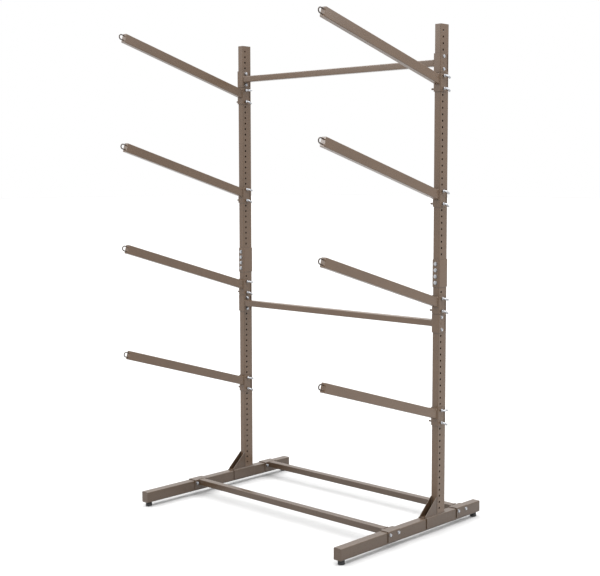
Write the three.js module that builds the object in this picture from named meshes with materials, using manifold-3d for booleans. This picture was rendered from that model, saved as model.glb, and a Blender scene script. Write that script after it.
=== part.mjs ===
// Free-standing cantilever rack: two uprights on floor feet, four crossbars between them, and eight arms
// that slope up from the uprights and hang on removable lock pins.
// Millimetres. X runs from the left upright to the right one, -Y is the side the arms reach out to, +Z is up,
// and the origin is at floor level in the middle of the rack's bounding box.
import * as THREE from "three";
import { mergeVertices } from "three/addons/utils/BufferGeometryUtils.js";
import Module from "manifold-3d";

const wasm = await Module();
wasm.setup();

// ---- Driving dimensions ----
const GAP = 0.3; // clearance between pieces that touch
const PITCH = 25.4; // spacing of the holes along an upright
const POST_SPACING = 1134; // between the middles of the two uprights
const WALL = 2; // wall of every tube
const CORNER = 2.6; // outside corner of every tube
const PLATE = 3; // thickness of every bracket plate

const FOOT = { width: 38, height: 48, front: 622.6, back: 272.6, lift: 19 };
const POST = { width: 31, depth: 52, holes: 38, firstHole: 23, endMargin: PITCH };
const HOLE_LINE = -11; // Y of the holes from the middle of the upright: they sit towards its front
const HOLE_RADIUS = 4.8; // corner radius of a six-sided hole, 8.3 across its flats
const ROD_RADIUS = 4; // lock pins and bolts
const PAST = 1; // how far a cutter runs past a face, and a welded piece into its neighbour

const SLEEVE = { height: 112, wall: 2.5 };
const BRACKET = { margin: 12, back: 14 }; // plate past a hole, and how far back its sides reach
const BAR = { depth: 30, height: 27 };
const SADDLE = { front: 102, back: 32, drop: 44 }; // round the foot, below the upright
const GUSSET = { height: 72, toe: 5, inset: 3 };
const FLOOR_BAR_Y = { front: -310, rear: 140 };
const FLOOR_BOLT_DROP = 12; // below the top of the foot

const ARM = { width: 25, height: 38, length: 700, slope: THREE.MathUtils.degToRad(16.4), rise: 11 };
const LOOP = { wire: 2.5, spacing: 20, reach: 27 };
const PIN = { stub: 21.3, standoff: 5.3, collarRadius: 6, collar: 3, neck: 2, bend: 7, handle: 15 };
const RUBBER = { radius: 14, height: 17, chamfer: 1.5, taper: 1, stud: 4, studTop: 40, inset: 23 };
const BOLT = { headRadius: 7.5, head: 5.3, tail: 10, spliceLength: 16 };

// Hole numbers, counted up an upright from the foot.
const ARM_HOLES = [66, 48, 32, 14]; // the lower pin of each arm, from the top arm down
const CROSSBAR_HOLES = { top: 69, middle: 29 }; // the lower bolt of each upper crossbar
const HOLE_STEP = 2; // the two pins or bolts of a bracket are two holes apart
// How far each pin's handle hangs below level, in degrees: [upper pin, lower pin] from the top arm down.
const HANDLE_DROP = {
  left: [[0, 29], [16, 28], [10, 30], [13, 26]],
  right: [[25, 29], [28, 33], [18, 30], [0, 27]],
};

// ---- Levels and places that follow from them ----
const FOOT_TOP = FOOT.lift + FOOT.height;
const SADDLE_TOP = FOOT_TOP + GAP + PLATE;
const POST_BASE = SADDLE_TOP + GAP;
const HOLES_SPAN = (POST.holes - 1) * PITCH;
const SPLICE = POST_BASE + POST.firstHole + HOLES_SPAN + POST.endMargin;
const UPPER_BASE = SPLICE + GAP;
const POST_TOP = UPPER_BASE + 2 * POST.endMargin + HOLES_SPAN;
const POST_X = { left: -POST_SPACING / 2, right: POST_SPACING / 2 };
const BRACKET_HALF = PITCH + BRACKET.margin;
const PLATE_IN = POST.width / 2 + GAP;
const PLATE_OUT = PLATE_IN + PLATE;
const WEB_FRONT = -POST.depth / 2 - GAP - PLATE;

function holeLevel(number) {
  if (number < POST.holes) return POST_BASE + POST.firstHole + number * PITCH;
  return UPPER_BASE + POST.endMargin + (number - POST.holes) * PITCH;
}

// ---- Materials ----
const paint = new THREE.MeshStandardMaterial({ color: 0x7b7064, roughness: 0.6, metalness: 0.15 });
const zinc = new THREE.MeshStandardMaterial({ color: 0xc9ccd0, roughness: 0.3, metalness: 1 });
const rubber = new THREE.MeshStandardMaterial({ color: 0x17171a, roughness: 0.85, metalness: 0 });

// ---- Solids ----
function solid(geometry) {
  const bare = geometry.clone();
  bare.deleteAttribute("normal");
  bare.deleteAttribute("uv");
  const merged = mergeVertices(bare, 1e-4);
  const triVerts = new Uint32Array(merged.index.array);
  const vertProperties = new Float32Array(merged.attributes.position.array);
  return new wasm.Manifold(new wasm.Mesh({ numProp: 3, vertProperties, triVerts }));
}

function geometryOf(shape) {
  const mesh = shape.getMesh();
  const geometry = new THREE.BufferGeometry();
  geometry.setAttribute("position", new THREE.BufferAttribute(mesh.vertProperties, 3));
  geometry.setIndex(new THREE.BufferAttribute(mesh.triVerts, 1));
  const flat = geometry.toNonIndexed();
  flat.computeVertexNormals();
  return flat;
}

function join(shapes) {
  return shapes.reduce((all, shape) => all.add(shape));
}

function cut(shape, tools) {
  return shape.subtract(join(tools));
}

function block(x, y, z) {
  const box = new THREE.BoxGeometry(x[1] - x[0], y[1] - y[0], z[1] - z[0]);
  box.translate((x[0] + x[1]) / 2, (y[0] + y[1]) / 2, (z[0] + z[1]) / 2);
  return solid(box);
}

// A rectangle with its corners cut to the given radius, or left square at a radius of 0.
function rectangle(target, width, height, radius) {
  const x = width / 2;
  const y = height / 2;
  const corners = [[x, y], [-x, y], [-x, -y], [x, -y]];
  const towards = (from, to) => from + Math.sign(to - from) * radius;
  corners.forEach(([cx, cy], i) => {
    const [px, py] = corners[(i + 3) % 4];
    const [nx, ny] = corners[(i + 1) % 4];
    const start = [towards(cx, px), towards(cy, py)];
    if (i === 0) target.moveTo(...start);
    else target.lineTo(...start);
    if (radius > 0) target.quadraticCurveTo(cx, cy, towards(cx, nx), towards(cy, ny));
  });
  target.closePath();
  return target;
}

// A rectangular tube standing on z = 0.
function tubeGeometry(width, height, wall, length) {
  const section = rectangle(new THREE.Shape(), width, height, CORNER);
  section.holes.push(rectangle(new THREE.Path(), width - 2 * wall, height - 2 * wall, 0));
  return new THREE.ExtrudeGeometry(section, { depth: length, bevelEnabled: false, curveSegments: 1 });
}

// A rod or a disc along X from x0 to x1, through (y, z).
function rodX(radius, x0, x1, y, z, sides = 6) {
  const rod = new THREE.CylinderGeometry(radius, radius, x1 - x0, sides);
  rod.rotateZ(Math.PI / 2);
  rod.translate((x0 + x1) / 2, y, z);
  return solid(rod);
}

function rodY(radius, y0, y1, x, z, sides = 6) {
  const rod = new THREE.CylinderGeometry(radius, radius, y1 - y0, sides);
  rod.translate(x, (y0 + y1) / 2, z);
  return solid(rod);
}

// A round bar along a path of straight and curved pieces.
function bar(curves, radius, steps) {
  const path = new THREE.CurvePath();
  curves.forEach((curve) => path.add(curve));
  const section = new THREE.Shape();
  section.absarc(0, 0, radius, 0, 2 * Math.PI);
  const options = { steps, extrudePath: path, bevelEnabled: false, curveSegments: 3 };
  return solid(new THREE.ExtrudeGeometry(section, options));
}

// ---- Uprights ----
function postSection(base, length, holeLevels, boltLevels) {
  const tube = tubeGeometry(POST.width, POST.depth, WALL, length);
  tube.translate(0, 0, base);
  const reach = POST.width / 2 + PAST;
  const sideHoles = holeLevels.map((z) => rodX(HOLE_RADIUS, -reach, reach, HOLE_LINE, z));
  const front = -POST.depth / 2;
  const frontHoles = boltLevels.map((z) => rodY(HOLE_RADIUS, front - PAST, front + WALL + PAST, 0, z));
  return cut(solid(tube), [...sideHoles, ...frontHoles]);
}

const numbers = [...Array(POST.holes).keys()];
const spliceBolts = [-1.5, -0.5, 0.5, 1.5].map((step) => SPLICE + step * PITCH);

function lowerUpright() {
  return postSection(POST_BASE, SPLICE - POST_BASE, numbers.map(holeLevel), spliceBolts.slice(0, 2));
}

function upperUpright() {
  const levels = numbers.map((n) => holeLevel(n + POST.holes));
  return postSection(UPPER_BASE, POST_TOP - UPPER_BASE, levels, spliceBolts.slice(2));
}

function spliceSleeve() {
  const grow = 2 * (GAP + SLEEVE.wall);
  const tube = tubeGeometry(POST.width + grow, POST.depth + grow, SLEEVE.wall, SLEEVE.height);
  tube.translate(0, 0, SPLICE - SLEEVE.height / 2);
  const front = -POST.depth / 2 - GAP - SLEEVE.wall;
  const inside = front + SLEEVE.wall + PAST;
  const holes = spliceBolts.map((z) => rodY(HOLE_RADIUS, front - PAST, inside, 0, z));
  return cut(solid(tube), holes);
}

// ---- Feet ----
function baseFoot() {
  const length = FOOT.front + FOOT.back;
  const tube = tubeGeometry(FOOT.width, FOOT.height, WALL, length);
  tube.rotateX(-Math.PI / 2);
  tube.translate(0, -FOOT.front, FOOT.lift + FOOT.height / 2);
  const inner = FOOT.width / 2 - WALL / 2;
  const low = FOOT.lift + WALL / 2;
  const high = FOOT_TOP - WALL / 2;
  const endY = [-FOOT.front, FOOT.back - PLATE];
  const ends = endY.map((y) => block([-inner, inner], [y, y + PLATE], [low, high]));
  const boltZ = FOOT_TOP - FLOOR_BOLT_DROP;
  const reach = FOOT.width / 2 + PAST;
  const boltHoles = Object.values(FLOOR_BAR_Y).flatMap((y) =>
    [-PITCH, PITCH].map((step) => rodX(HOLE_RADIUS, -reach, reach, y + step, boltZ)),
  );
  const studHoles = [-FOOT.front + RUBBER.inset, FOOT.back - RUBBER.inset].map((y) => {
    const hole = new THREE.CylinderGeometry(HOLE_RADIUS, HOLE_RADIUS, 3 * WALL, 6);
    hole.rotateX(Math.PI / 2);
    hole.translate(0, y, FOOT.lift + WALL / 2);
    return solid(hole);
  });
  return cut(join([solid(tube), ...ends]), [...boltHoles, ...studHoles]);
}

// An upside-down U of plate over the foot, from y0 to y1.
function footSaddle(y0, y1) {
  const inside = FOOT.width / 2 + GAP;
  const outside = inside + PLATE;
  const shell = block([-outside, outside], [y0, y1], [SADDLE_TOP - SADDLE.drop, SADDLE_TOP]);
  return shell.subtract(block([-inside, inside], [y0 - PAST, y1 + PAST], [0, SADDLE_TOP - PLATE]));
}

// Turns a flat outline of (y, z) points, extruded up, into a plate standing along Y with its thickness along X.
const OUTLINE_ON_EDGE = new THREE.Matrix4().makeBasis(
  new THREE.Vector3(0, 1, 0),
  new THREE.Vector3(0, 0, 1),
  new THREE.Vector3(1, 0, 0),
);

function gussetSaddle() {
  const root = -POST.depth / 2 - GAP;
  const outline = new THREE.Shape();
  outline.moveTo(root, SADDLE_TOP - PAST);
  outline.lineTo(root, SADDLE_TOP + GUSSET.height);
  outline.lineTo(root - GUSSET.inset, SADDLE_TOP + GUSSET.height);
  outline.lineTo(-SADDLE.front, SADDLE_TOP + GUSSET.toe);
  outline.lineTo(-SADDLE.front, SADDLE_TOP - PAST);
  outline.closePath();
  const sides = [-POST.width / 2, POST.width / 2 - PLATE].map((x) => {
    const plate = new THREE.ExtrudeGeometry(outline, { depth: PLATE, bevelEnabled: false });
    plate.applyMatrix4(OUTLINE_ON_EDGE);
    plate.translate(x, 0, 0);
    return solid(plate);
  });
  return join([footSaddle(-SADDLE.front, SADDLE.back), ...sides]);
}

// A rubber pad on a threaded stud that screws into the foot.
function levellingFoot() {
  const profile = [
    [0, 0],
    [RUBBER.radius - RUBBER.chamfer, 0],
    [RUBBER.radius, RUBBER.chamfer],
    [RUBBER.radius - RUBBER.taper, RUBBER.height],
    [RUBBER.stud, RUBBER.height],
    [RUBBER.stud, RUBBER.studTop],
    [0, RUBBER.studTop],
  ].map(([radius, z]) => new THREE.Vector2(radius, z));
  const lathe = new THREE.LatheGeometry(profile, 12);
  lathe.rotateX(Math.PI / 2);
  return solid(lathe);
}

// ---- Brackets and crossbars ----
// A U of plate round the front of an upright, centred on the level between its two pins or bolts.
function postBracket(holeOffsets) {
  const shell = block([-PLATE_OUT, PLATE_OUT], [WEB_FRONT, BRACKET.back], [-BRACKET_HALF, BRACKET_HALF]);
  const past = BRACKET_HALF + PAST;
  const inside = block([-PLATE_IN, PLATE_IN], [WEB_FRONT + PLATE, BRACKET.back + PAST], [-past, past]);
  const reach = PLATE_OUT + PAST;
  const holes = holeOffsets.map((z) => rodX(HOLE_RADIUS, -reach, reach, HOLE_LINE, z));
  return cut(shell, [inside, ...holes]);
}

function barTube(length, y, z) {
  const tube = tubeGeometry(BAR.height, BAR.depth, WALL, length);
  tube.rotateY(Math.PI / 2);
  tube.translate(-length / 2, y, z);
  return solid(tube);
}

function upperCrossbar() {
  const bracket = postBracket([-PITCH, 0, PITCH]);
  const length = POST_SPACING - 2 * PLATE_OUT + PLATE;
  const ends = Object.values(POST_X).map((x) => bracket.translate(x, 0, 0));
  return join([barTube(length, HOLE_LINE, 0), ...ends]);
}

function floorCrossbar(y) {
  const outside = FOOT.width / 2 + GAP + PLATE;
  const boltZ = FOOT_TOP - FLOOR_BOLT_DROP;
  const barZ = SADDLE_TOP - BAR.height / 2;
  const reach = outside + PAST;
  const holes = [-PITCH, PITCH].map((step) => rodX(HOLE_RADIUS, -reach, reach, y + step, boltZ));
  const vent = rodX(HOLE_RADIUS, -reach, reach, y, barZ);
  const saddle = cut(footSaddle(y - BRACKET_HALF, y + BRACKET_HALF), [...holes, vent]);
  const ends = Object.values(POST_X).map((x) => saddle.translate(x, 0, 0));
  const length = POST_SPACING - 2 * outside + PLATE;
  return join([barTube(length, y, barZ), ...ends]);
}

// ---- Arms ----
// An arm's own frame has z along the arm and y up across it.
function armFrame() {
  const across = new THREE.Vector3(0, Math.sin(ARM.slope), Math.cos(ARM.slope));
  const along = new THREE.Vector3(0, -Math.cos(ARM.slope), Math.sin(ARM.slope));
  const frame = new THREE.Matrix4().makeBasis(new THREE.Vector3(1, 0, 0), across, along);
  return frame.setPosition(0, WEB_FRONT, ARM.rise);
}

function strapLoop() {
  const half = LOOP.spacing / 2;
  const foot = ARM.length - PLATE / 2;
  const corner = ARM.length + LOOP.reach - LOOP.wire - half;
  const crown = corner + (4 / 3) * half; // control points of a half circle
  const at = (y, z) => new THREE.Vector3(0, y, z);
  const curves = [
    new THREE.LineCurve3(at(-half, foot), at(-half, corner)),
    new THREE.CubicBezierCurve3(at(-half, corner), at(-half, crown), at(half, crown), at(half, corner)),
    new THREE.LineCurve3(at(half, corner), at(half, foot)),
  ];
  return bar(curves, LOOP.wire, 8);
}

function arm() {
  const backset = ARM.height;
  const tube = tubeGeometry(ARM.width, ARM.height, WALL, ARM.length - PLATE / 2 + backset);
  tube.translate(0, 0, -backset);
  const end = new THREE.BoxGeometry(ARM.width, ARM.height, PLATE);
  end.translate(0, 0, ARM.length - PLATE / 2);
  const placed = join([solid(tube), solid(end), strapLoop()]).transform(armFrame().toArray());
  const far = 2 * ARM.height + BRACKET_HALF;
  const behind = block([-ARM.width, ARM.width], [WEB_FRONT + PLATE / 2, far], [-far, far]);
  const vent = rodY(HOLE_RADIUS, WEB_FRONT - PAST, WEB_FRONT + PLATE + PAST, 0, ARM.rise);
  return join([placed.subtract(behind), postBracket([-PITCH, PITCH])]).subtract(vent);
}

// ---- Lock pins and bolts ----
// A pin's shank lies along X; it has a collar before its outer end, which is bent into a handle.
function lockPin(drop) {
  const tip = -PLATE_OUT - PIN.stub;
  const collarIn = PLATE_OUT + PIN.standoff;
  const bendIn = collarIn + PIN.collar + PIN.neck;
  const down = new THREE.Vector3(0, Math.cos(drop), -Math.sin(drop));
  const at = (x, along) => new THREE.Vector3(x, 0, 0).addScaledVector(down, along);
  const corner = at(bendIn + PIN.bend, 0);
  const curves = [
    new THREE.LineCurve3(at(tip, 0), at(bendIn, 0)),
    new THREE.QuadraticBezierCurve3(at(bendIn, 0), corner, at(bendIn + PIN.bend, PIN.bend)),
    new THREE.LineCurve3(at(bendIn + PIN.bend, PIN.bend), at(bendIn + PIN.bend, PIN.bend + PIN.handle)),
  ];
  const collar = rodX(PIN.collarRadius, collarIn, collarIn + PIN.collar, 0, 0, 8);
  return join([bar(curves, ROD_RADIUS, 8), collar]);
}

// A hexagon bolt through a bracket and its upright, its head on the side that direction names.
function bracketBolt(direction) {
  const seat = PLATE_OUT + GAP;
  const span = (from, to) => [direction * from, direction * to].sort((a, b) => a - b);
  const shank = span(-PLATE_OUT - BOLT.tail, seat + PAST);
  const head = span(seat, seat + BOLT.head);
  return join([rodX(ROD_RADIUS, ...shank, 0, 0), rodX(BOLT.headRadius, ...head, 0, 0)]);
}

function spliceBolt() {
  const seat = -POST.depth / 2 - 2 * GAP - SLEEVE.wall;
  const shank = rodY(ROD_RADIUS, seat - PAST, seat - PAST + BOLT.spliceLength, 0, 0);
  return join([shank, rodY(BOLT.headRadius, seat - BOLT.head, seat, 0, 0)]);
}

// ---- Assembly ----
const rack = new THREE.Group();

function place(name, shape, material, x = 0, y = 0, z = 0) {
  const mesh = new THREE.Mesh(geometryOf(shape), material);
  mesh.name = name;
  mesh.position.set(x, y, z);
  rack.add(mesh);
}

const levelNames = ["upper", "lower"];
const foot = baseFoot();
const saddle = gussetSaddle();
const lower = lowerUpright();
const upper = upperUpright();
const sleeve = spliceSleeve();
const armShape = arm();
const crossbar = upperCrossbar();
const pad = levellingFoot();
const jointBolt = spliceBolt();

for (const [side, x] of Object.entries(POST_X)) {
  place(`base_foot_${side}`, foot, paint, x);
  place(`gusset_saddle_${side}`, saddle, paint, x);
  place(`lower_upright_${side}`, lower, paint, x);
  place(`upper_upright_${side}`, upper, paint, x);
  place(`splice_sleeve_${side}`, sleeve, paint, x);
  place(`levelling_foot_front_${side}`, pad, rubber, x, -FOOT.front + RUBBER.inset);
  place(`levelling_foot_rear_${side}`, pad, rubber, x, FOOT.back - RUBBER.inset);
  spliceBolts.forEach((z, i) => place(`splice_bolt_${side}_${i + 1}`, jointBolt, zinc, x, 0, z));

  ARM_HOLES.forEach((hole, level) => {
    const row = level + 1;
    const heights = [holeLevel(hole + HOLE_STEP), holeLevel(hole)];
    place(`arm_${side}_${row}`, armShape, paint, x, 0, (heights[0] + heights[1]) / 2);
    heights.forEach((z, i) => {
      const drop = THREE.MathUtils.degToRad(HANDLE_DROP[side][level][i]);
      place(`lock_pin_${side}_${row}_${levelNames[i]}`, lockPin(drop), zinc, x, HOLE_LINE, z);
    });
  });

  const outward = Math.sign(x);
  for (const [height, hole] of Object.entries(CROSSBAR_HOLES)) {
    [hole + HOLE_STEP, hole].forEach((number, i) => {
      const name = `bracket_bolt_${side}_${height}_${levelNames[i]}`;
      place(name, bracketBolt(outward), zinc, x, HOLE_LINE, holeLevel(number));
    });
  }
}

for (const [height, hole] of Object.entries(CROSSBAR_HOLES)) {
  const middle = (holeLevel(hole) + holeLevel(hole + HOLE_STEP)) / 2;
  place(`${height}_crossbar`, crossbar, paint, 0, 0, middle);
}
for (const [end, y] of Object.entries(FLOOR_BAR_Y)) {
  place(`${end}_floor_crossbar`, floorCrossbar(y), paint);
}

const bounds = new THREE.Box3().setFromObject(rack);
rack.position.y = -(bounds.min.y + bounds.max.y) / 2;

export default rack;
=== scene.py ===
"""A free-standing cantilever rack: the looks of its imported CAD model. Metres, in the CAD frame."""

import math

import bmesh
import bpy
from mathutils import Matrix, Quaternion, Vector


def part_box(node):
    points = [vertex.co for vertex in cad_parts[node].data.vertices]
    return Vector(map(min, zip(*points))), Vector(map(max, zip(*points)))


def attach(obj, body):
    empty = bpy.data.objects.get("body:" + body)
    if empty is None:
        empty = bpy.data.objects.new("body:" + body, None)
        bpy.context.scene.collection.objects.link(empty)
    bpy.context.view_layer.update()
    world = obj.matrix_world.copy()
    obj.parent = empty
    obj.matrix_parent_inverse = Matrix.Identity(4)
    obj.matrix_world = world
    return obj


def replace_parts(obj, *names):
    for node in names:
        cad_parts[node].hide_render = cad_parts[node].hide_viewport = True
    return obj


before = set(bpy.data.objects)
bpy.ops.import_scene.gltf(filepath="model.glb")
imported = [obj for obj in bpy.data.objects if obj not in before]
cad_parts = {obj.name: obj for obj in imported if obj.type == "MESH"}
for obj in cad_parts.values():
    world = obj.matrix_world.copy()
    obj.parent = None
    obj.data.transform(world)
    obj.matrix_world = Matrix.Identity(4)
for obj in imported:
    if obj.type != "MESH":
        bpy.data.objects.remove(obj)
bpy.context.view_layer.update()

# ---- Sizes, in metres ----
MM = 0.001
PITCH = 25.4 * MM
GAP = 0.3 * MM
PLATE = 3 * MM
WALL = 2 * MM
POST_WIDTH, POST_DEPTH = 31 * MM, 52 * MM
POST_CORNER = 3 * MM
HOLES = 38
FIRST_HOLE = 23 * MM
HOLE_RADIUS = 4.5 * MM
HOLE_LINE = -11 * MM
FOOT_WIDTH, FOOT_HEIGHT = 38 * MM, 48 * MM
FOOT_CORNER = 4.5 * MM
SLEEVE_WALL = 2.5 * MM
BRACKET_HALF = PITCH + 12 * MM
BRACKET_BACK = 14 * MM
BEND = 4.5 * MM
PLATE_IN = POST_WIDTH / 2 + GAP
PLATE_OUT = PLATE_IN + PLATE
WEB_FRONT = -POST_DEPTH / 2 - GAP - PLATE
BAR_DEPTH, BAR_HEIGHT = 30 * MM, 27 * MM
BAR_CORNER = 3.5 * MM
SADDLE_FRONT, SADDLE_BACK, SADDLE_DROP = 102 * MM, 32 * MM, 44 * MM
SADDLE_HALF = FOOT_WIDTH / 2 + GAP + PLATE
GUSSET_HEIGHT, GUSSET_TOE, GUSSET_INSET = 72 * MM, 5 * MM, 3 * MM
FLOOR_BOLT_DROP = 12 * MM
ARM_WIDTH, ARM_HEIGHT, ARM_LENGTH = 25 * MM, 38 * MM, 700 * MM
ARM_SLOPE = math.radians(16.4)
ARM_RISE = 11 * MM
ARM_CORNER = 3.2 * MM
LOOP_WIRE, LOOP_SPACING, LOOP_REACH = 2.5 * MM, 20 * MM, 26.4 * MM
ROD = 4 * MM
PIN_STUB, PIN_STANDOFF = 21.3 * MM, 5.3 * MM
PIN_COLLAR_RADIUS, PIN_COLLAR = 6 * MM, 3 * MM
PIN_NECK, PIN_BEND, PIN_HANDLE = 2 * MM, 7 * MM, 15 * MM
WASHER, WASHER_RADIUS = 1 * MM, 6.7 * MM
HEAD_FLATS, HEAD_HEIGHT = 11 * MM, 3.2 * MM
NUT_FLATS, NUT_HEIGHT = 12 * MM, 6.6 * MM
BRACKET_BOLT_TAIL, FLOOR_BOLT_TAIL = 10 * MM, 10.5 * MM
SPLICE_WASHER, SPLICE_WASHER_RADIUS = 1.3 * MM, 7.7 * MM
SPLICE_HEAD_FLATS, SPLICE_HEAD_HEIGHT = 13 * MM, 3.9 * MM
STUD_FLATS = 13 * MM
THREAD_LEAD = 1.25 * MM
PAD_HEIGHT = 17 * MM
BEAD, CHEEK_BEAD, LOOP_BEAD = 2.1 * MM, 1.3 * MM, 1.2 * MM
PLATE_EDGE, GUSSET_EDGE, SADDLE_EDGE = 0.5 * MM, 1 * MM, 1.2 * MM
FOOT_EDGE = 1.6 * MM
BRACKET_CORNER = 5 * MM
FLOOR_REACH = 60
SIDES = {"left": -1, "right": 1}


def middle(node):
    low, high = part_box(node)
    return (low + high) / 2


POST = {side: middle(f"lower_upright_{side}") for side in SIDES}
POST_Y = POST["left"].y
FOOT_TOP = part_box("base_foot_left")[1].z
SADDLE_TOP = FOOT_TOP + GAP + PLATE


# ---- Camera ----
# The lens and the sensor are in millimetres, the shift is a share of the picture's longer side.
LENS, SENSOR, SHIFT_UP = 69.54, 36, -0.0174
CAMERA_PLACE = (3.3746, -3.5484, 1.4487)
CAMERA_AIM = Vector((-0.68626, 0.72215, -0.08690))
CAMERA_ROLL = -0.00194

camera_data = bpy.data.cameras.new("camera")
camera_data.lens = LENS
camera_data.sensor_width = SENSOR
camera_data.shift_y = SHIFT_UP
camera_data.clip_end = 200
camera = bpy.data.objects.new("camera", camera_data)
bpy.context.scene.collection.objects.link(camera)
camera.location = CAMERA_PLACE
camera.rotation_mode = "QUATERNION"
roll = Quaternion((0, 0, 1), CAMERA_ROLL)
camera.rotation_quaternion = CAMERA_AIM.to_track_quat("-Z", "Y") @ roll
bpy.context.scene.camera = camera
bpy.context.scene.view_settings.view_transform = "Standard"


# ---- Materials ----
COAT = (0.081, 0.0487, 0.0277)
COAT_ROUGHNESS, WIRE_ROUGHNESS = 0.32, 0.45
COAT_LAYER, COAT_LAYER_ROUGHNESS = 0.15, 0.16
WIRE_PAINTED_SHADE, BASE_PAINTED_SHADE = 0.35, 0.64  # painted shade: the colour of the strap loops and of the base, as a share of COAT, darkened for the shade they show
ZINC, ZINC_ROUGHNESS = (0.4, 0.41, 0.43), 0.26
RUBBER, DUST = (0.009, 0.009, 0.01), (0.03, 0.029, 0.027)
FLOOR_GREY = (0.44, 0.44, 0.44, 1)

# Texture scales, in features per metre.
GRAIN_SCALE, PEEL_SCALE, CLOUD_SCALE = 1100, 330, 9
MOTTLE_SCALE, SCRATCH_SCALE = 260, (220, 2600, 2600)
RUBBER_SCALE, DUST_SCALE = 900, 70


def new_material(name):
    material = bpy.data.materials.new(name)
    material.use_nodes = True
    nodes = material.node_tree.nodes
    return material, nodes, material.node_tree.links, nodes["Principled BSDF"]


def noise(nodes, links, coords, scale, detail=2.0, roughness=0.5):
    node = nodes.new("ShaderNodeTexNoise")
    node.inputs["Scale"].default_value = scale
    node.inputs["Detail"].default_value = detail
    node.inputs["Roughness"].default_value = roughness
    links.new(coords.outputs["Object"], node.inputs["Vector"])
    return node.outputs["Fac"]


def spread(nodes, links, value, low, high, from_low=0.3, from_high=0.7):
    node = nodes.new("ShaderNodeMapRange")
    node.inputs["From Min"].default_value = from_low
    node.inputs["From Max"].default_value = from_high
    node.inputs["To Min"].default_value = low
    node.inputs["To Max"].default_value = high
    links.new(value, node.inputs["Value"])
    return node.outputs["Result"]


def blend_colours(nodes, links, factor, dark, light):
    node = nodes.new("ShaderNodeMix")
    node.data_type = "RGBA"
    node.inputs["A"].default_value = (*dark, 1)
    node.inputs["B"].default_value = (*light, 1)
    links.new(factor, node.inputs["Factor"])
    return node.outputs["Result"]


def bump(nodes, links, height, distance, strength, normal=None):
    node = nodes.new("ShaderNodeBump")
    node.inputs["Distance"].default_value = distance
    node.inputs["Strength"].default_value = strength
    links.new(height, node.inputs["Height"])
    if normal is not None:
        links.new(normal, node.inputs["Normal"])
    return node.outputs["Normal"]


def powder_coat(name, base, roughness, shade=1.0):
    """A satin, finely textured powder coat: a sandy grain over a soft orange peel. A shade below 1 darkens
    the whole colour as painted shade.
    """
    material, nodes, links, shader = new_material(name)
    coords = nodes.new("ShaderNodeTexCoord")
    grain = noise(nodes, links, coords, GRAIN_SCALE, 1.0)
    peel = noise(nodes, links, coords, PEEL_SCALE, 2.0)
    cloud = noise(nodes, links, coords, CLOUD_SCALE, 3.0, 0.6)
    tone = nodes.new("ShaderNodeMath")
    tone.operation = "MULTIPLY_ADD"
    links.new(spread(nodes, links, grain, -0.5, 0.5), tone.inputs[0])
    tone.inputs[1].default_value = 0.55
    links.new(spread(nodes, links, cloud, 0.25, 0.75), tone.inputs[2])
    dark = [shade * c * 0.88 for c in base]
    light = [shade * c * 1.12 for c in base]
    links.new(blend_colours(nodes, links, tone.outputs[0], dark, light), shader.inputs["Base Color"])
    rough = spread(nodes, links, peel, roughness - 0.05, roughness + 0.07)
    links.new(rough, shader.inputs["Roughness"])
    shader.inputs["Coat Weight"].default_value = COAT_LAYER
    shader.inputs["Coat Roughness"].default_value = COAT_LAYER_ROUGHNESS
    soft = bump(nodes, links, peel, 0.12 * MM, 0.5)
    links.new(bump(nodes, links, grain, 0.06 * MM, 0.55, soft), shader.inputs["Normal"])
    return material


def zinc_plate(name, base, roughness):
    """Bright zinc plating: faint mottling and fine scratches drawn along one axis."""
    material, nodes, links, shader = new_material(name)
    shader.inputs["Metallic"].default_value = 1
    coords = nodes.new("ShaderNodeTexCoord")
    mottle = noise(nodes, links, coords, MOTTLE_SCALE, 3.0, 0.65)
    dark = [c * 0.82 for c in base]
    light = [min(1, c * 1.1) for c in base]
    factor = spread(nodes, links, mottle, 0, 1)
    links.new(blend_colours(nodes, links, factor, dark, light), shader.inputs["Base Color"])
    stretch = nodes.new("ShaderNodeMapping")
    stretch.inputs["Scale"].default_value = SCRATCH_SCALE
    links.new(coords.outputs["Object"], stretch.inputs["Vector"])
    scratches = nodes.new("ShaderNodeTexNoise")
    scratches.inputs["Scale"].default_value = 1
    links.new(stretch.outputs["Vector"], scratches.inputs["Vector"])
    rough = spread(nodes, links, mottle, roughness - 0.07, roughness + 0.1)
    links.new(rough, shader.inputs["Roughness"])
    links.new(bump(nodes, links, scratches.outputs["Fac"], 0.02 * MM, 0.3), shader.inputs["Normal"])
    return material


def moulded_rubber(name):
    """Black moulded rubber with a fine matt grain and a little dust in it."""
    material, nodes, links, shader = new_material(name)
    coords = nodes.new("ShaderNodeTexCoord")
    grain = noise(nodes, links, coords, RUBBER_SCALE, 2.0)
    dust = noise(nodes, links, coords, DUST_SCALE, 4.0, 0.7)
    factor = spread(nodes, links, dust, 0, 1, 0.45, 0.8)
    colour = blend_colours(nodes, links, factor, RUBBER, DUST)
    links.new(colour, shader.inputs["Base Color"])
    links.new(spread(nodes, links, grain, 0.62, 0.82), shader.inputs["Roughness"])
    links.new(bump(nodes, links, grain, 0.08 * MM, 0.5), shader.inputs["Normal"])
    return material


coat = powder_coat("taupe_powder_coat", COAT, COAT_ROUGHNESS)
# painted shade: the strap loops take the same coat darkened for the shade the thin wire shows
painted_shade_loop_coat = powder_coat("taupe_powder_coat_with_painted_shade_on_wire", COAT, WIRE_ROUGHNESS, WIRE_PAINTED_SHADE)
# painted shade: the feet, gussets and floor crossbars take the same coat darkened for the shade low down
# near the floor
painted_shade_base_coat = powder_coat("taupe_powder_coat_with_painted_shade_on_the_base", COAT, COAT_ROUGHNESS, BASE_PAINTED_SHADE)
zinc = zinc_plate("bright_zinc", ZINC, ZINC_ROUGHNESS)
rubber = moulded_rubber("black_rubber")
SLOTS = {coat: "painted_steel", painted_shade_loop_coat: "painted_steel", painted_shade_base_coat: "painted_steel"}
SLOTS |= {zinc: "zinc_steel", rubber: "rubber"}


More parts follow.
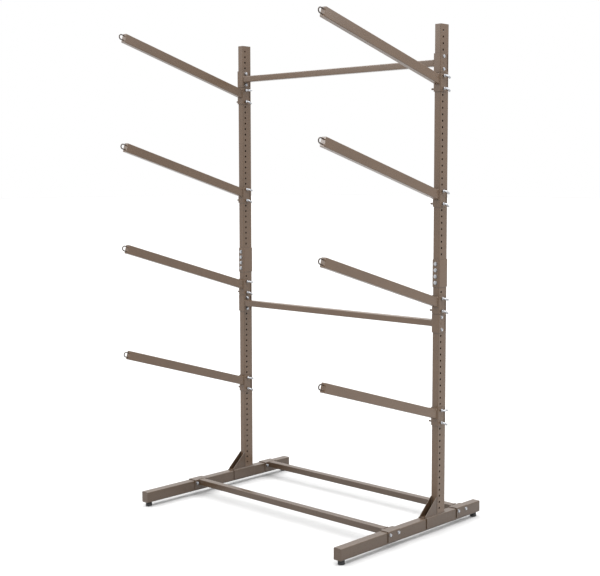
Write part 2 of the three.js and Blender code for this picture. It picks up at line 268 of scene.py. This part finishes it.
# ---- Mesh tools ----
def round_rectangle(width, height, radius, steps=4):
    """Points round a rectangle with rounded corners, from the start of its upper right corner."""
    points = []
    for quarter, (sx, sy) in enumerate(((1, 1), (-1, 1), (-1, -1), (1, -1))):
        centre_x, centre_y = sx * (width / 2 - radius), sy * (height / 2 - radius)
        for step in range(steps + 1):
            angle = math.pi / 2 * (quarter + step / steps)
            points.append((centre_x + radius * math.cos(angle), centre_y + radius * math.sin(angle)))
    return points


def u_section(half, reach, steps=4):
    """The outline of a plate bent to a U, as (across, inwards) points, with its web at 0."""
    inner = BEND - PLATE
    turn = [math.pi / 2 * step / steps for step in range(steps + 1)]
    outer_side = [(half - BEND + BEND * math.cos(a), BEND - BEND * math.sin(a)) for a in turn]
    inner_side = [(half - BEND + inner * math.cos(a), BEND - inner * math.sin(a)) for a in turn]
    right = [(half, reach), *outer_side]
    back = [(half - PLATE, reach), *inner_side]
    left = [(-x, y) for x, y in reversed(right)]
    inside = [(-x, y) for x, y in back] + list(reversed(back))
    return right + left + inside


def loft(bm, rings, caps=True, closed=False):
    """Skins a row of rings that hold the same number of points."""
    made = [[bm.verts.new(p) for p in ring] for ring in rings]
    pairs = list(zip(made, made[1:]))
    if closed:
        pairs.append((made[-1], made[0]))
    for a, b in pairs:
        for i in range(len(a)):
            j = (i + 1) % len(a)
            bm.faces.new((a[i], a[j], b[j], b[i]))
    if caps and not closed:
        bm.faces.new(made[0])
        bm.faces.new(made[-1])
    return made


def ring_frames(points, closed):
    """A frame square to the path at each point, carried along it without twist."""
    count = len(points)
    tangents = []
    for i in range(count):
        after = points[(i + 1) % count] if closed or i + 1 < count else points[i]
        before = points[i - 1] if closed or i > 0 else points[i]
        tangents.append((after - before).normalized())
    seed = Vector((0, 0, 1)) if abs(tangents[0].z) < 0.9 else Vector((1, 0, 0))
    normal = (seed - tangents[0] * seed.dot(tangents[0])).normalized()
    frames = []
    for tangent in tangents:
        normal = (normal - tangent * normal.dot(tangent)).normalized()
        frames.append((normal, tangent.cross(normal)))
    return frames


def sweep(bm, stations, sides=16, closed=False):
    """A round bar through (point, radius) stations."""
    points = [point for point, _ in stations]
    rings = []
    for (point, radius), (u, v) in zip(stations, ring_frames(points, closed)):
        angles = [2 * math.pi * k / sides for k in range(sides)]
        rings.append([point + u * (radius * math.cos(a)) + v * (radius * math.sin(a)) for a in angles])
    loft(bm, rings, True, closed)


def arc(centre, start, finish, steps):
    """Points from centre + start to centre + finish, a quarter turn, without the first."""
    turn = [math.pi / 2 * step / steps for step in range(1, steps + 1)]
    return [centre + start * math.cos(a) + finish * math.sin(a) for a in turn]


def evenly(points, spacing, closed):
    """Points along a path at an even spacing."""
    path = points + [points[0]] if closed else points
    lengths = [(b - a).length for a, b in zip(path, path[1:])]
    total = sum(lengths)
    count = max(4, round(total / spacing))
    placed = []
    for k in range(count if closed else count + 1):
        travel = min(total * k / count, total - 1e-9)
        i = 0
        while travel > lengths[i] and i < len(lengths) - 1:
            travel -= lengths[i]
            i += 1
        placed.append(path[i].lerp(path[i + 1], travel / lengths[i]))
    return placed


def bead(bm, points, radius=BEAD, closed=True):
    """A weld bead along a path: a low ridge of overlapping ripples."""
    placed = evenly(points, 0.8 * MM, closed)
    stations = []
    for k, point in enumerate(placed):
        ripple = 0.13 * math.sin(1.57 * k) + 0.06 * math.sin(0.37 * k)
        end = 1 if closed else min(1, (min(k, len(placed) - 1 - k) + 1) / 4)
        stations.append((point, radius * (1 + ripple) * (0.4 + 0.6 * end)))
    sweep(bm, stations, 8, closed)


def round_edges(bm, wanted, offset, segments):
    """Rounds the edges whose two ends both pass the test."""
    edges = [e for e in bm.edges if all(wanted(v.co) for v in e.verts)]
    bmesh.ops.bevel(bm, geom=edges, offset=offset, segments=segments, affect="EDGES", profile=0.5)


def cylinder(bm, radius, start, end, sides=24):
    sweep(bm, [(Vector(start), radius), (Vector(end), radius)], sides)


def mesh_of(bm, name):
    bmesh.ops.recalc_face_normals(bm, faces=bm.faces)
    mesh = bpy.data.meshes.new(name)
    bm.to_mesh(mesh)
    bm.free()
    return mesh


def drilled(mesh, cutters):
    """The mesh with the cutters' solids taken out of it."""
    body = bpy.data.objects.new("body", mesh)
    tool = bpy.data.objects.new("tool", mesh_of(cutters, "tool"))
    for thing in (body, tool):
        bpy.context.scene.collection.objects.link(thing)
    modifier = body.modifiers.new("cut", "BOOLEAN")
    modifier.operation = "DIFFERENCE"
    modifier.solver = "EXACT"
    modifier.object = tool
    bpy.context.view_layer.update()
    result = bpy.data.meshes.new_from_object(body.evaluated_get(bpy.context.evaluated_depsgraph_get()))
    for thing in (body, tool):
        bpy.data.objects.remove(thing)
    return result


def piece(name, mesh, material, body="rack", place=None, bevel=0.0, sharp=38):
    """A finished piece of the rack that rides on a body and takes its finish from the material's slot."""
    if not mesh.materials:
        mesh.materials.append(material)
        mesh.polygons.foreach_set("use_smooth", [True] * len(mesh.polygons))
        if not bevel:
            mesh.set_sharp_from_angle(angle=math.radians(sharp))
    thing = bpy.data.objects.new(name, mesh)
    bpy.context.scene.collection.objects.link(thing)
    if place is not None:
        thing.matrix_world = place
    if bevel:
        rounding = thing.modifiers.new("rounding", "BEVEL")
        rounding.width = bevel
        rounding.segments = 2
        rounding.limit_method = "ANGLE"
        rounding.angle_limit = math.radians(sharp)
    weighted = thing.modifiers.new("normals", "WEIGHTED_NORMAL")
    weighted.keep_sharp = True
    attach(thing, body)
    return thing


def at(x=0.0, y=0.0, z=0.0):
    return Matrix.Translation((x, y, z))


# ---- Uprights ----
def skin(bm, width, depth, radius, levels, holes, steps=4, sides=20):
    """One skin of an upright. Returns its first and last rings and the rim of each hole."""
    section = round_rectangle(width, depth, radius, steps)
    rows = [[bm.verts.new((x, y, z)) for x, y in section] for z in levels]
    count = len(section)
    flat_right = count - 1  # the column from the last point to the first runs along the right-hand side
    flat_left = 2 * (steps + 1) - 1
    rims = {}
    for i, (low, high) in enumerate(zip(rows, rows[1:])):
        for j in range(count):
            k = (j + 1) % count
            if j not in (flat_right, flat_left) or i not in holes:
                bm.faces.new((low[j], low[k], high[k], high[j]))
                continue
            x = low[j].co.x
            y_of = lambda v: v.co.y
            front_low, back_low = sorted((low[j], low[k]), key=y_of)
            front_high, back_high = sorted((high[j], high[k]), key=y_of)
            corners = [back_high, front_high, front_low, back_low]
            turn = [2 * math.pi * s / sides for s in range(sides)]
            edge = [(HOLE_RADIUS * math.cos(a), HOLE_RADIUS * math.sin(a)) for a in turn]
            rim = [bm.verts.new((x, HOLE_LINE + across, holes[i] + up)) for across, up in edge]
            quarter = sides // 4
            for q, corner in enumerate(corners):
                for s in range(q * quarter, (q + 1) * quarter):
                    bm.faces.new((corner, rim[s], rim[(s + 1) % sides]))
                end = rim[(q + 1) * quarter % sides]
                bm.faces.new((corner, end, corners[(q + 1) % 4]))
            rims[(i, j)] = rim
    return rows[0], rows[-1], rims


def upright(name, bottom, top, first):
    """A tube with a row of holes through both sides, in its own frame round the upright's middle."""
    centres = [first + n * PITCH for n in range(HOLES)]
    levels = [bottom, first - PITCH / 2, *[z + PITCH / 2 for z in centres], top]
    holes = {n + 1: z for n, z in enumerate(centres)}
    bm = bmesh.new()
    outer = skin(bm, POST_WIDTH, POST_DEPTH, POST_CORNER, levels, holes)
    inner = skin(bm, POST_WIDTH - 2 * WALL, POST_DEPTH - 2 * WALL, POST_CORNER - WALL, levels, holes)
    pairs = [(outer[0], inner[0]), (outer[1], inner[1])]
    pairs += [(rim, inner[2][key]) for key, rim in outer[2].items()]
    for a, b in pairs:
        for i in range(len(a)):
            j = (i + 1) % len(a)
            bm.faces.new((a[i], a[j], b[j], b[i]))
    return mesh_of(bm, name)


lower_low, lower_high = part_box("lower_upright_left")
upper_low, upper_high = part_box("upper_upright_left")
lower_mesh = upright("lower_upright", lower_low.z, lower_high.z, lower_low.z + FIRST_HOLE)
upper_mesh = upright("upper_upright", upper_low.z, upper_high.z, upper_low.z + PITCH)
SLEEVE_LOW, SLEEVE_HIGH = (corner.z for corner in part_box("splice_sleeve_left"))


def sleeve():
    """A close tube over the joint between the two lengths of an upright."""
    grow = 2 * (GAP + SLEEVE_WALL)
    outer = round_rectangle(POST_WIDTH + grow, POST_DEPTH + grow, POST_CORNER + SLEEVE_WALL + GAP)
    inner = round_rectangle(POST_WIDTH + 2 * GAP, POST_DEPTH + 2 * GAP, POST_CORNER + GAP)
    bm = bmesh.new()
    rings = [[(x, y, z) for x, y in outer] for z in (SLEEVE_LOW, SLEEVE_HIGH)]
    rings += [[(x, y, z) for x, y in inner] for z in (SLEEVE_HIGH, SLEEVE_LOW)]
    loft(bm, rings, False, True)
    return mesh_of(bm, "sleeve")


sleeve_mesh = sleeve()
for side in SIDES:
    here = at(POST[side].x, POST_Y)
    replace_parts(piece(f"upright_lower_{side}", lower_mesh, coat, place=here), f"lower_upright_{side}")
    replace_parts(piece(f"upright_upper_{side}", upper_mesh, coat, place=here), f"upper_upright_{side}")
    made = piece(f"sleeve_{side}", sleeve_mesh, coat, place=here, bevel=PLATE_EDGE)
    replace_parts(made, f"splice_sleeve_{side}")


# ---- Feet ----
def closed_tube(bm, section_at, ends, edge, radius, width, height):
    """A tube with closed, rounded ends. section_at places a section's points at a distance along it."""
    rings = []
    for distance, inset in ((0, edge), (0.3 * edge, 0.3 * edge), (edge, 0)):
        shrunk = round_rectangle(width - 2 * inset, height - 2 * inset, max(radius - inset, 0.4 * MM))
        rings.append((distance, shrunk))
    start, finish = ends
    row = [section_at(start + distance, points) for distance, points in rings]
    row += [section_at(finish - distance, points) for distance, points in reversed(rings)]
    loft(bm, row)


def base_foot():
    low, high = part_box("base_foot_left")
    level = (low.z + high.z) / 2
    bm = bmesh.new()
    place = lambda y, points: [(x, y, level + z) for x, z in points]
    closed_tube(bm, place, (low.y, high.y), FOOT_EDGE, FOOT_CORNER, FOOT_WIDTH, FOOT_HEIGHT)
    return mesh_of(bm, "base_foot")


def saddle(bm, front, back):
    """A U of plate over the foot, from front to back, which are Y in the rack's frame."""
    section = u_section(SADDLE_HALF, SADDLE_DROP)
    loft(bm, [[(x, y, SADDLE_TOP - inwards) for x, inwards in section] for y in (front, back)])


def gusset():
    """The saddle of an upright and the two cheeks that stay the upright on it."""
    bm = bmesh.new()
    saddle(bm, POST_Y - SADDLE_FRONT, POST_Y + SADDLE_BACK)
    root = POST_Y - POST_DEPTH / 2
    foot = SADDLE_TOP - 0.5 * MM
    outline = [
        (root, foot),
        (root, SADDLE_TOP + GUSSET_HEIGHT),
        (root - GUSSET_INSET, SADDLE_TOP + GUSSET_HEIGHT),
        (POST_Y - SADDLE_FRONT, SADDLE_TOP + GUSSET_TOE),
        (POST_Y - SADDLE_FRONT, foot),
    ]
    for x in (-POST_WIDTH / 2, POST_WIDTH / 2 - PLATE):
        loft(bm, [[(x + step, y, z) for y, z in outline] for step in (0, PLATE)])
    return mesh_of(bm, "gusset")


def gusset_welds():
    """The beads round the foot of an upright and along its cheeks."""
    bm = bmesh.new()
    section = round_rectangle(POST_WIDTH, POST_DEPTH, POST_CORNER)
    bead(bm, [Vector((x, POST_Y + y, SADDLE_TOP + 0.4 * MM)) for x, y in section])
    front, root = POST_Y - SADDLE_FRONT + 3 * MM, POST_Y - POST_DEPTH / 2
    for x in (-POST_WIDTH / 2, POST_WIDTH / 2):
        bead(bm, [Vector((x, front, SADDLE_TOP)), Vector((x, root, SADDLE_TOP))], closed=False)
        inside = x - math.copysign(PLATE, x)
        lift = SADDLE_TOP + GUSSET_HEIGHT - 4 * MM
        bead(bm, [Vector((inside, root, SADDLE_TOP)), Vector((inside, root, lift))], closed=False)
        bead(bm, [Vector((x, root, SADDLE_TOP)), Vector((x, root, lift))], CHEEK_BEAD, False)
    return mesh_of(bm, "gusset_welds")


foot_mesh, gusset_mesh, gusset_weld_mesh = base_foot(), gusset(), gusset_welds()
for side in SIDES:
    here = at(POST[side].x)
    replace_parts(piece(f"foot_{side}", foot_mesh, painted_shade_base_coat, place=here), f"base_foot_{side}")
    made = piece(f"gusset_{side}", gusset_mesh, painted_shade_base_coat, place=here, bevel=GUSSET_EDGE)
    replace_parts(made, f"gusset_saddle_{side}")
    piece(f"gusset_welds_{side}", gusset_weld_mesh, painted_shade_base_coat, place=here, sharp=80)


# ---- Brackets, crossbars and arms ----
def bracket(bm):
    """A U of plate round the front of an upright, in a frame at the middle of its two pins or bolts."""
    section = u_section(PLATE_OUT, BRACKET_BACK - WEB_FRONT)
    ends = (-BRACKET_HALF, BRACKET_HALF)
    loft(bm, [[(x, WEB_FRONT + inwards, z) for x, inwards in section] for z in ends])
    is_back = lambda p: abs(p.y - BRACKET_BACK) < 1e-6 and abs(abs(p.z) - BRACKET_HALF) < 1e-6
    round_edges(bm, is_back, BRACKET_CORNER, 4)


def drilled_bracket(name, offsets):
    bm, cutters = bmesh.new(), bmesh.new()
    bracket(bm)
    reach = PLATE_OUT + 1 * MM
    for z in offsets:
        cylinder(cutters, HOLE_RADIUS, (-reach, HOLE_LINE, z), (reach, HOLE_LINE, z))
    return drilled(mesh_of(bm, name), cutters)


arm_bracket_mesh = drilled_bracket("arm_bracket", (-PITCH, PITCH))
bar_bracket_mesh = drilled_bracket("bar_bracket", (-PITCH, 0, PITCH))
ACROSS = Vector((0, math.sin(ARM_SLOPE), math.cos(ARM_SLOPE)))
ALONG = Vector((0, -math.cos(ARM_SLOPE), math.sin(ARM_SLOPE)))
ARM_ROOT = Vector((0, WEB_FRONT, ARM_RISE))


def on_arm(x, across, along):
    return ARM_ROOT + Vector((x, 0, 0)) + ACROSS * across + ALONG * along


def arm_root_ring(y):
    """The arm's section where it meets the upright plane at y."""
    section = round_rectangle(ARM_WIDTH, ARM_HEIGHT, ARM_CORNER)
    return [on_arm(x, a, (y - ARM_ROOT.y - ACROSS.y * a) / ALONG.y) for x, a in section]


def arm_tube():
    bm = bmesh.new()
    rings = [arm_root_ring(WEB_FRONT + 1 * MM)]
    for back, inset in ((1.4, 0), (0.4, 0.4), (0, 1.4)):  # back from the tip and in from the sides, in mm
        radius = max(ARM_CORNER - inset * MM, 0.6 * MM)
        section = round_rectangle(ARM_WIDTH - 2 * inset * MM, ARM_HEIGHT - 2 * inset * MM, radius)
        rings.append([on_arm(x, a, ARM_LENGTH - back * MM) for x, a in section])
    loft(bm, rings)
    return mesh_of(bm, "arm_tube")


def strap_loop():
    """A U of round bar welded to the tip of an arm."""
    half = LOOP_SPACING / 2
    corner = ARM_LENGTH + LOOP_REACH - LOOP_WIRE - half
    turn = [math.pi * k / 16 for k in range(17)]
    root = ARM_LENGTH - PLATE
    run = corner - root
    points = [on_arm(0, -half, root + step * run / 6) for step in range(6)]
    points += [on_arm(0, -half * math.cos(a), corner + half * math.sin(a)) for a in turn]
    points += [on_arm(0, half, corner - step * run / 6) for step in range(1, 7)]
    bm = bmesh.new()
    sweep(bm, [(p, LOOP_WIRE) for p in points], 14)
    return mesh_of(bm, "strap_loop")


def arm_welds():
    bm = bmesh.new()
    bead(bm, arm_root_ring(WEB_FRONT - 0.3 * MM))
    for across in (-LOOP_SPACING / 2, LOOP_SPACING / 2):
        turn = [2 * math.pi * k / 24 for k in range(24)]
        ring = LOOP_WIRE + 0.2 * MM
        around = [(ring * math.cos(a), across + ring * math.sin(a)) for a in turn]
        bead(bm, [on_arm(x, y, ARM_LENGTH) for x, y in around], LOOP_BEAD)
    return mesh_of(bm, "arm_welds")


tube_mesh, loop_mesh, arm_weld_mesh = arm_tube(), strap_loop(), arm_welds()
for side in SIDES:
    for row in range(1, 5):
        name = f"arm_{side}_{row}"
        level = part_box(name)[0].z + BRACKET_HALF
        here = at(POST[side].x, POST_Y, level)
        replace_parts(piece(f"{name}_tube", tube_mesh, coat, place=here), name)
        piece(f"{name}_bracket", arm_bracket_mesh, coat, place=here, bevel=PLATE_EDGE)
        piece(f"{name}_loop", loop_mesh, painted_shade_loop_coat, place=here)
        piece(f"{name}_welds", arm_weld_mesh, coat, place=here, sharp=80)


def bar_tube(bm, half, y, z):
    """A plain tube along X whose ends are set a little into the brackets."""
    section = round_rectangle(BAR_DEPTH, BAR_HEIGHT, BAR_CORNER)
    loft(bm, [[(x, y + a, z + b) for a, b in section] for x in (-half, half)])


def bar_welds(bm, half, y, z):
    section = round_rectangle(BAR_DEPTH, BAR_HEIGHT, BAR_CORNER)
    for x in (-half, half):
        bead(bm, [Vector((x, y + a, z + b)) for a, b in section])


def upper_crossbar(name):
    level = middle(name).z
    half = POST["right"].x - PLATE_OUT
    bm, welds = bmesh.new(), bmesh.new()
    bar_tube(bm, half + 1 * MM, POST_Y + HOLE_LINE, level)
    bar_welds(welds, half - 0.3 * MM, POST_Y + HOLE_LINE, level)
    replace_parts(piece(f"{name}_tube", mesh_of(bm, name), coat), name)
    piece(f"{name}_welds", mesh_of(welds, f"{name}_welds"), coat, sharp=80)
    for side in SIDES:
        here = at(POST[side].x, POST_Y, level)
        piece(f"{name}_bracket_{side}", bar_bracket_mesh, coat, place=here, bevel=PLATE_EDGE)


def floor_crossbar(name):
    low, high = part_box(name)
    y = (low.y + high.y) / 2
    half = POST["right"].x - SADDLE_HALF
    level = SADDLE_TOP - BAR_HEIGHT / 2
    bm, welds = bmesh.new(), bmesh.new()
    bar_tube(bm, half + 1 * MM, y, level)
    bar_welds(welds, half - 0.3 * MM, y, level)
    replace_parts(piece(f"{name}_tube", mesh_of(bm, name), painted_shade_base_coat), name)
    piece(f"{name}_welds", mesh_of(welds, f"{name}_welds"), painted_shade_base_coat, sharp=80)
    clip = bmesh.new()
    saddle(clip, low.y, high.y)
    clip_mesh = mesh_of(clip, f"{name}_saddle")
    for side in SIDES:
        here = at(POST[side].x)
        piece(f"{name}_saddle_{side}", clip_mesh, painted_shade_base_coat, place=here, bevel=SADDLE_EDGE)


for name in ("top_crossbar", "middle_crossbar"):
    upper_crossbar(name)
for name in ("front_floor_crossbar", "rear_floor_crossbar"):
    floor_crossbar(name)


# ---- Bolts and nuts ----
def hexagon(flats, z, shrink=1.0, cone=None):
    """A hexagon's outline as 36 points. Cone lowers its corners as a chamfer does."""
    points = []
    for k in range(36):
        angle = 2 * math.pi * k / 36
        off = (angle + math.pi / 6) % (math.pi / 3) - math.pi / 6
        radius = flats / 2 / math.cos(off) * shrink
        drop = 0 if cone is None else max(0, radius - cone) * 0.6
        points.append((radius * math.cos(angle), radius * math.sin(angle), z - drop))
    return points


def disc(radius, z, count=36):
    turn = [2 * math.pi * k / count for k in range(count)]
    return [(radius * math.cos(a), radius * math.sin(a), z) for a in turn]


def washer(bm, low, high, radius):
    edge = 0.25 * MM
    rings = [disc(radius - edge, low), disc(radius, low + edge)]
    rings += [disc(radius, high - edge), disc(radius - edge, high)]
    loft(bm, rings)


def hex_head(bm, low, high, flats):
    """A forged head: a chamfered hexagon with a shallow dish in its top."""
    apothem = flats / 2
    rings = [
        hexagon(flats, low, 0.97),
        hexagon(flats, low + 0.3 * MM),
        hexagon(flats, high, 1.0, apothem * 0.97),
        disc(apothem * 0.96, high + 0.1 * MM),
        disc(apothem * 0.72, high + 0.1 * MM),
        disc(apothem * 0.62, high - 0.35 * MM),
    ]
    loft(bm, rings)


def lock_nut(bm, low, high, flats):
    """A nut with a plain collar on its outer end."""
    shoulder = low + 0.68 * (high - low)
    rings = [
        hexagon(flats, low, 0.96),
        hexagon(flats, low + 0.4 * MM),
        hexagon(flats, shoulder, 1.0, flats / 2),
        disc(flats * 0.47, shoulder + 0.1 * MM),
        disc(flats * 0.46, high - 0.5 * MM),
        disc(flats * 0.4, high),
    ]
    loft(bm, rings)


def thread(bm, low, high):
    """A threaded end: ridges one thread lead apart, with a chamfered point."""
    rings = []
    count = round((high - low) / (THREAD_LEAD / 2))
    for k in range(count + 1):
        crest = ROD if k % 2 else ROD - 0.5 * MM
        rings.append(disc(crest, low + (high - low) * k / (count + 1), 20))
    rings.append(disc(ROD - 1.1 * MM, high, 20))
    loft(bm, rings)


def through_bolt(name, half, tail):
    """A bolt along Z with its head at +Z, through something that is half thick each way, and its nut."""
    bm = bmesh.new()
    seat = half + WASHER
    washer(bm, half, seat, WASHER_RADIUS)
    hex_head(bm, seat, seat + HEAD_HEIGHT, HEAD_FLATS)
    washer(bm, -seat, -half, WASHER_RADIUS)
    nut = bmesh.new()
    lock_nut(nut, seat, seat + NUT_HEIGHT, NUT_FLATS)
    thread(nut, half, half + tail)
    bmesh.ops.scale(nut, vec=(1, 1, -1), verts=nut.verts)
    side = mesh_of(nut, "nut")
    bm.from_mesh(side)
    bpy.data.meshes.remove(side)
    loft(bm, [disc(ROD, z, 20) for z in (-half, seat)])
    return mesh_of(bm, name)


def seat_bolt(name):
    """A bolt along Z with its head at +Z and its seat at 0."""
    bm = bmesh.new()
    washer(bm, 0, SPLICE_WASHER, SPLICE_WASHER_RADIUS)
    hex_head(bm, SPLICE_WASHER, SPLICE_WASHER + SPLICE_HEAD_HEIGHT, SPLICE_HEAD_FLATS)
    loft(bm, [disc(ROD, z, 20) for z in (-9 * MM, 1 * MM)])
    return mesh_of(bm, name)


TURN = {1: Matrix.Rotation(math.pi / 2, 4, "Y"), -1: Matrix.Rotation(-math.pi / 2, 4, "Y")}
FACING_FRONT = Matrix.Rotation(math.pi / 2, 4, "X")
bracket_bolt_mesh = through_bolt("bracket_bolt", PLATE_OUT, BRACKET_BOLT_TAIL)
floor_bolt_mesh = through_bolt("floor_bolt", SADDLE_HALF, FLOOR_BOLT_TAIL)
seat_bolt_mesh = seat_bolt("splice_bolt")


def spun(degrees):
    return Matrix.Rotation(math.radians(degrees), 4, "Z")


# How far each bolt is turned about its axis, in degrees, so that the heads differ.
SPINS = (4, 23, -11, 37, 16, -25, 9, 30)
sleeve_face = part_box("splice_sleeve_left")[0].y
for side, sign in SIDES.items():
    for index in range(1, 5):
        name = f"splice_bolt_{side}_{index}"
        centre = middle(name)
        here = at(centre.x, sleeve_face, centre.z) @ FACING_FRONT @ spun(SPINS[index])
        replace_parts(piece(f"{name}_hex", seat_bolt_mesh, zinc, place=here), name)
    for k, height in enumerate(("top_upper", "top_lower", "middle_upper", "middle_lower")):
        name = f"bracket_bolt_{side}_{height}"
        centre = middle(name)
        here = at(POST[side].x, centre.y, centre.z) @ TURN[sign] @ spun(SPINS[k])
        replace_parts(piece(f"{name}_hex", bracket_bolt_mesh, zinc, place=here), name)
    for end in ("front", "rear"):
        centre = middle(f"{end}_floor_crossbar")
        for k, step in enumerate((-PITCH, PITCH)):
            where = at(POST[side].x, centre.y + step, FOOT_TOP - FLOOR_BOLT_DROP)
            here = where @ TURN[sign] @ spun(SPINS[k + 4])
            piece(f"floor_bolt_{side}_{end}_{k + 1}", floor_bolt_mesh, zinc, place=here)


# ---- Lock pins ----
PIN_JOINT = -PLATE_OUT + 2 * MM  # where a pin's coated end meets its bright part, inside the bracket's hole


def pin_end():
    """The coated far end of a pin, with a chamfered point and a cross hole."""
    tip = -PLATE_OUT - PIN_STUB
    stations = [(tip, ROD - 1.2 * MM), (tip + 1.2 * MM, ROD), (tip + 4 * MM, ROD)]
    stations += [(tip + 10 * MM, ROD), (PIN_JOINT, ROD)]
    bm, cutters = bmesh.new(), bmesh.new()
    sweep(bm, [(Vector((x, 0, 0)), radius) for x, radius in stations], 20)
    hole = tip + 6.5 * MM
    cylinder(cutters, 1.6 * MM, (hole, -2 * ROD, 0), (hole, 2 * ROD, 0), 16)
    return drilled(mesh_of(bm, "pin_end"), cutters)


def lock_pin():
    """The bright part of a pin: a bar along X, bent into a handle that points along +Y."""
    collar = PLATE_OUT + PIN_STANDOFF
    neck = collar + PIN_COLLAR
    bend = neck + PIN_NECK
    x_at = lambda x, radius: (Vector((x, 0, 0)), radius)
    stations = [x_at(PIN_JOINT, ROD), x_at(0, ROD), x_at(collar - 0.05 * MM, ROD)]
    stations += [x_at(collar, PIN_COLLAR_RADIUS - 0.7 * MM), x_at(collar + 0.7 * MM, PIN_COLLAR_RADIUS)]
    stations += [x_at(neck - 0.8 * MM, PIN_COLLAR_RADIUS), x_at(neck, PIN_COLLAR_RADIUS - 0.8 * MM)]
    stations += [x_at(neck + 0.2 * MM, ROD + 0.4 * MM), x_at(neck + 0.9 * MM, ROD), x_at(bend, ROD)]
    centre = Vector((bend, PIN_BEND, 0))
    stations += [(p, ROD) for p in arc(centre, Vector((0, -PIN_BEND, 0)), Vector((PIN_BEND, 0, 0)), 8)]
    handle_at = lambda y, radius: (Vector((bend + PIN_BEND, y, 0)), radius)
    end = PIN_BEND + PIN_HANDLE
    stations += [handle_at(end / 2, ROD), handle_at(end - 1.2 * MM, ROD)]
    stations += [handle_at(end - 0.4 * MM, ROD - 0.4 * MM), handle_at(end, ROD - 1.2 * MM)]
    bm = bmesh.new()
    sweep(bm, stations, 20)
    return mesh_of(bm, "lock_pin")


lock_pin_mesh, pin_end_mesh = lock_pin(), pin_end()
for side in SIDES:
    for row in range(1, 5):
        for which in ("upper", "lower"):
            name = f"lock_pin_{side}_{row}_{which}"
            corners = [v.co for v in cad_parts[name].data.vertices]
            tip = min(p.x for p in corners)
            ends = [p for p in corners if p.x < tip + 0.1 * MM]
            axis = sum(ends, Vector()) / len(ends)
            lean = sum(corners, Vector()) / len(corners) - axis
            turn = Matrix.Rotation(math.atan2(lean.z, lean.y), 4, "X")
            here = at(POST[side].x, axis.y, axis.z) @ turn
            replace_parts(piece(f"{name}_rod", lock_pin_mesh, zinc, name, here, sharp=45), name)
            piece(f"{name}_end", pin_end_mesh, coat, name, here, sharp=45)


# ---- Levelling feet ----
def rubber_pad(low, high, radius):
    """A moulded pad: a chamfered tread, a grip of shallow flutes and a domed shoulder."""
    bm = bmesh.new()
    rings = []
    count = 96
    turn = [2 * math.pi * k / count for k in range(count)]
    height = high - low
    # Share of the height, share of the radius, depth of the flutes.
    profile = [(0.0, 0.90, 0), (0.04, 0.965, 0), (0.10, 1.0, 0), (0.16, 1.0, 0.4), (0.22, 0.985, 1)]
    profile += [(0.74, 0.955, 1), (0.80, 0.955, 0.4), (0.86, 0.95, 0), (0.95, 0.90, 0), (1.0, 0.8, 0)]
    for part, share, flute in profile:
        ring = []
        for a in turn:
            r = radius * share - flute * 0.45 * MM * (1 + math.cos(24 * a)) / 2
            ring.append((r * math.cos(a), r * math.sin(a), low + height * part))
        rings.append(ring)
    loft(bm, rings)
    return mesh_of(bm, "rubber_pad")


def stud(low, high):
    bm = bmesh.new()
    thread(bm, low, high)
    flange = [hexagon(STUD_FLATS, z, 0.9) for z in (low - 0.2 * MM, low + 1.0 * MM)]
    loft(bm, flange)
    return mesh_of(bm, "stud")


pad_low, pad_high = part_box("levelling_foot_front_left")
pad_radius = (pad_high.x - pad_low.x) / 2
pad_mesh = rubber_pad(0, PAD_HEIGHT, pad_radius)
stud_mesh = stud(PAD_HEIGHT, pad_high.z)
for side in SIDES:
    for end in ("front", "rear"):
        name = f"levelling_foot_{end}_{side}"
        centre = middle(name)
        here = at(centre.x, centre.y)
        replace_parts(piece(f"{name}_pad", pad_mesh, rubber, name, here, sharp=60), name)
        piece(f"{name}_stud", stud_mesh, zinc, name, here)


# ---- Floor, light and backdrop ----
def floor():
    mesh = bpy.data.meshes.new("floor")
    signs = ((-1, -1), (1, -1), (1, 1), (-1, 1))
    corners = [(x * FLOOR_REACH, y * FLOOR_REACH, 0) for x, y in signs]
    mesh.from_pydata(corners, [], [(0, 1, 2, 3)])
    material, _, _, shader = new_material("pale_floor")
    shader.inputs["Base Color"].default_value = FLOOR_GREY
    shader.inputs["Roughness"].default_value = 0.9
    shader.inputs["Specular IOR Level"].default_value = 0.1
    mesh.materials.append(material)
    plane = bpy.data.objects.new("floor", mesh)
    bpy.context.scene.collection.objects.link(plane)


def sun(name, towards, strength, angle):
    """A soft distant light. Strength is how bright it makes a white surface that faces it."""
    data = bpy.data.lights.new(name, "SUN")
    data.energy = math.pi * strength
    data.angle = math.radians(angle)
    lamp = bpy.data.objects.new(name, data)
    bpy.context.scene.collection.objects.link(lamp)
    lamp.rotation_mode = "QUATERNION"
    lamp.rotation_quaternion = Vector(towards).to_track_quat("Z", "Y")


def softbox(name, place, aim, size, power):
    """A square light that faces a point."""
    data = bpy.data.lights.new(name, "AREA")
    data.size = size
    data.energy = power
    lamp = bpy.data.objects.new(name, data)
    bpy.context.scene.collection.objects.link(lamp)
    lamp.location = place
    lamp.rotation_mode = "QUATERNION"
    lamp.rotation_quaternion = (Vector(aim) - Vector(place)).to_track_quat("-Z", "Y")


def surroundings(strength):
    """An even white room."""
    world = bpy.data.worlds.new("room")
    bpy.context.scene.world = world
    world.use_nodes = True
    room = world.node_tree.nodes["Background"]
    room.inputs["Color"].default_value = (1, 1, 1, 1)
    room.inputs["Strength"].default_value = strength


floor()
surroundings(strength=1.0)
sun("overhead", towards=(0, 0, 1), strength=1.9, angle=105)
softbox("right", place=(2.6, 0.9, 2.9), aim=(0.5, 0.2, 1.4), size=1.4, power=26)
softbox("upper_left", place=(-2.6, -2.9, 3.4), aim=(0, -0.3, 1.9), size=1.2, power=60)
